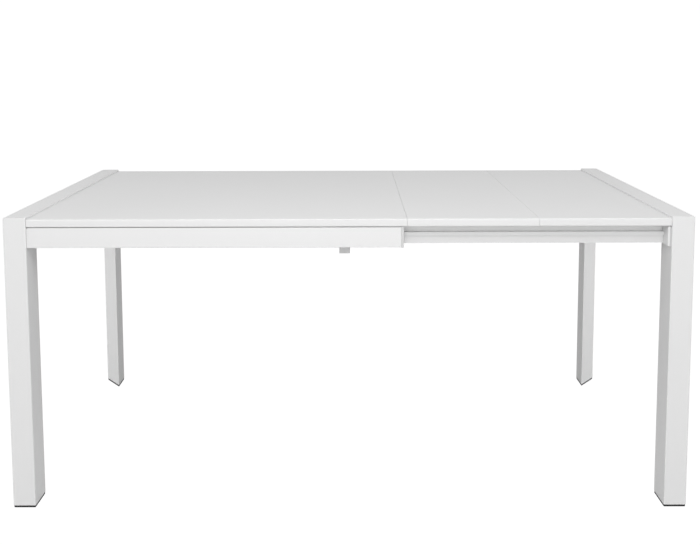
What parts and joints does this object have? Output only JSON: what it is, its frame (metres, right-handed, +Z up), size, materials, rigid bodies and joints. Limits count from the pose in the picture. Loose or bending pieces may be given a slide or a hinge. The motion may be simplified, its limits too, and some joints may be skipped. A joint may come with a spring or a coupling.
{
  "type": "extendable dining table",
  "caption": "White extendable dining table with three-cornered mitred end portals, a sliding end on rails and loose leaves in a flush top.",
  "frame": {"origin": "on the floor under the middle of the drawn-out table", "axes": "+X along the table towards the end that slides, +Y to the back, +Z up"},
  "size_m": [1.716, 0.8, 0.75],
  "materials": {
    "portal_lacquer": "satin white powder coat on steel tube",
    "apron_lacquer": "satin white lacquer on the aprons and rail plates",
    "top_laminate": "smooth white satin lacquer on wood board",
    "rail_aluminium": "light satin aluminium extrusion",
    "zinc_steel": "bright zinc-plated steel",
    "grey_nylon": "light grey moulded nylon",
    "foot_black": "matt black moulded plastic",
    "batten_wood": "plain sanded beech"
  },
  "bodies": {
    "fixed_frame": {"cross_member": "rail_aluminium", "fixed_top": "top_laminate", "front_apron": "apron_lacquer", "front_apron_plate": "apron_lacquer", "front_cross_angle": "zinc_steel", "front_left_corner_plate": "zinc_steel", "front_left_foot": "foot_black", "front_left_leg": "portal_lacquer", "front_mouth_cap": "grey_nylon", "front_mouth_glide": "grey_nylon", "front_top_spacer_1": "grey_nylon", "front_top_spacer_2": "grey_nylon", "front_top_spacer_3": "grey_nylon", "left_portal_beam": "portal_lacquer", "rear_apron": "apron_lacquer", "rear_apron_plate": "apron_lacquer", "rear_cross_angle": "zinc_steel", "rear_left_corner_plate": "zinc_steel", "rear_left_foot": "foot_black", "rear_left_leg": "portal_lacquer", "rear_mouth_cap": "grey_nylon", "rear_mouth_glide": "grey_nylon", "rear_top_spacer_1": "grey_nylon", "rear_top_spacer_2": "grey_nylon", "rear_top_spacer_3": "grey_nylon"},
    "moving_portal": {"front_plate_screw_1": "zinc_steel", "front_plate_screw_2": "zinc_steel", "front_plate_shim": "grey_nylon", "front_rail": "rail_aluminium", "front_rail_glide": "grey_nylon", "front_rail_plate": "apron_lacquer", "front_right_corner_plate": "zinc_steel", "front_right_foot": "foot_black", "front_right_leg": "portal_lacquer", "front_tie_hanger": "rail_aluminium", "front_tie_plug": "grey_nylon", "rear_plate_screw_1": "zinc_steel", "rear_plate_screw_2": "zinc_steel", "rear_plate_shim": "grey_nylon", "rear_rail": "rail_aluminium", "rear_rail_glide": "grey_nylon", "rear_rail_plate": "apron_lacquer", "rear_right_corner_plate": "zinc_steel", "rear_right_foot": "foot_black", "rear_right_leg": "portal_lacquer", "rear_tie_hanger": "rail_aluminium", "rear_tie_plug": "grey_nylon", "right_portal_beam": "portal_lacquer", "tie_bar": "rail_aluminium"},
    "leaf_1": {"leaf_1_front_batten": "batten_wood", "leaf_1_panel": "top_laminate", "leaf_1_rear_batten": "batten_wood"},
    "leaf_2": {"leaf_2_front_batten": "batten_wood", "leaf_2_panel": "top_laminate", "leaf_2_rear_batten": "batten_wood"}
  },
  "joints": [
    {"name": "portal_slide", "type": "slide", "parent": "fixed_frame", "child": "moving_portal", "axis": [1, 0, 0], "range_m": [-0.655, 0]},
    {"name": "leaf_1_lift", "type": "slide", "parent": "moving_portal", "child": "leaf_1", "axis": [0, 0, 1], "range_m": [0, 0.395]},
    {"name": "leaf_2_lift", "type": "slide", "parent": "moving_portal", "child": "leaf_2", "axis": [0, 0, 1], "range_m": [0, 0.395]}
  ],
  "couplings": [
    {"joint": "leaf_1_lift", "follows": "portal_slide", "ratio": -0.6},
    {"joint": "leaf_2_lift", "follows": "portal_slide", "ratio": -0.6}
  ]
}
